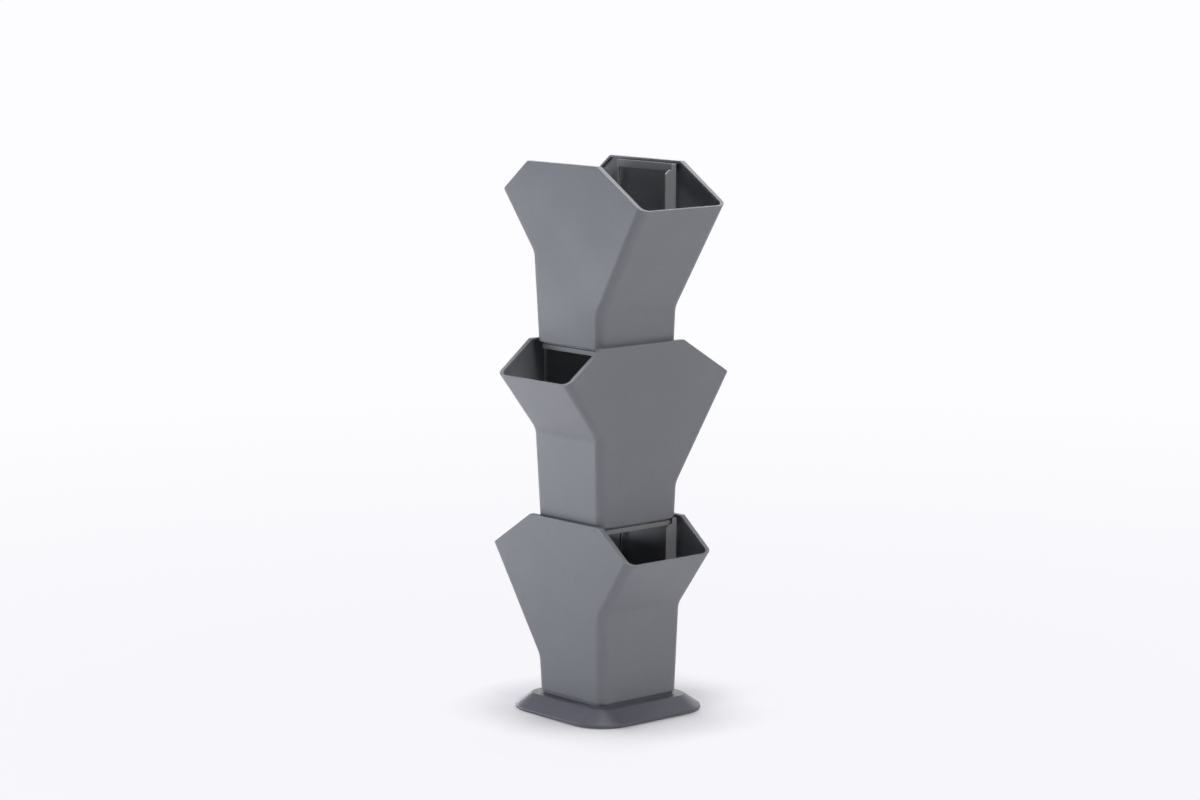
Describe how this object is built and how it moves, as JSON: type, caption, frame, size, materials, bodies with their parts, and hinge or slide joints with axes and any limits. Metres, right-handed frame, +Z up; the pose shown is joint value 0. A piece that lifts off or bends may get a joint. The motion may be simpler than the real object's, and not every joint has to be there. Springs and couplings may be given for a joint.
{
  "type": "vertical planter tower",
  "caption": "Vertical planter tower: stacked Y-shaped planters, each with a long and a short open pocket on a square column, drain plates and corner frames inside, on a square foot.",
  "frame": {"origin": "on the column's axis, on the floor under the foot's middle pad", "axes": "+Z up along the column; +X towards the top planter's long pocket; +Y towards the middle planter's long pocket; the lower planter's long pocket points along -X"},
  "size_m": [0.3728, 0.3391, 0.8778],
  "materials": {
    "planter_plastic": "mid grey moulded polypropylene, fine matt texture",
    "foot_plastic": "mid grey moulded polypropylene, fine matt texture",
    "insert_plastic": "grey moulded polypropylene inserts, fine matt texture"
  },
  "bodies": {
    "foot": {"base_foot": "foot_plastic"},
    "lower_planter": {"lower_planter_shell": "planter_plastic", "lower_drain_plate": "insert_plastic", "lower_corner_frame_a": "insert_plastic", "lower_corner_frame_b": "insert_plastic"},
    "middle_planter": {"middle_planter_shell": "planter_plastic", "middle_drain_plate": "insert_plastic", "middle_corner_frame_a": "insert_plastic", "middle_corner_frame_b": "insert_plastic"},
    "top_planter": {"top_planter_shell": "planter_plastic", "top_drain_plate": "insert_plastic", "top_corner_frame_a": "insert_plastic", "top_corner_frame_b": "insert_plastic"}
  },
  "joints": [
    {"name": "lower_lift", "type": "slide", "parent": "foot", "child": "lower_planter", "axis": [0, 0, 1], "range_m": [0, 0.06]},
    {"name": "middle_lift", "type": "slide", "parent": "lower_planter", "child": "middle_planter", "axis": [0, 0, 1], "range_m": [0, 0.06]},
    {"name": "top_lift", "type": "slide", "parent": "middle_planter", "child": "top_planter", "axis": [0, 0, 1], "range_m": [0, 0.06]}
  ]
}
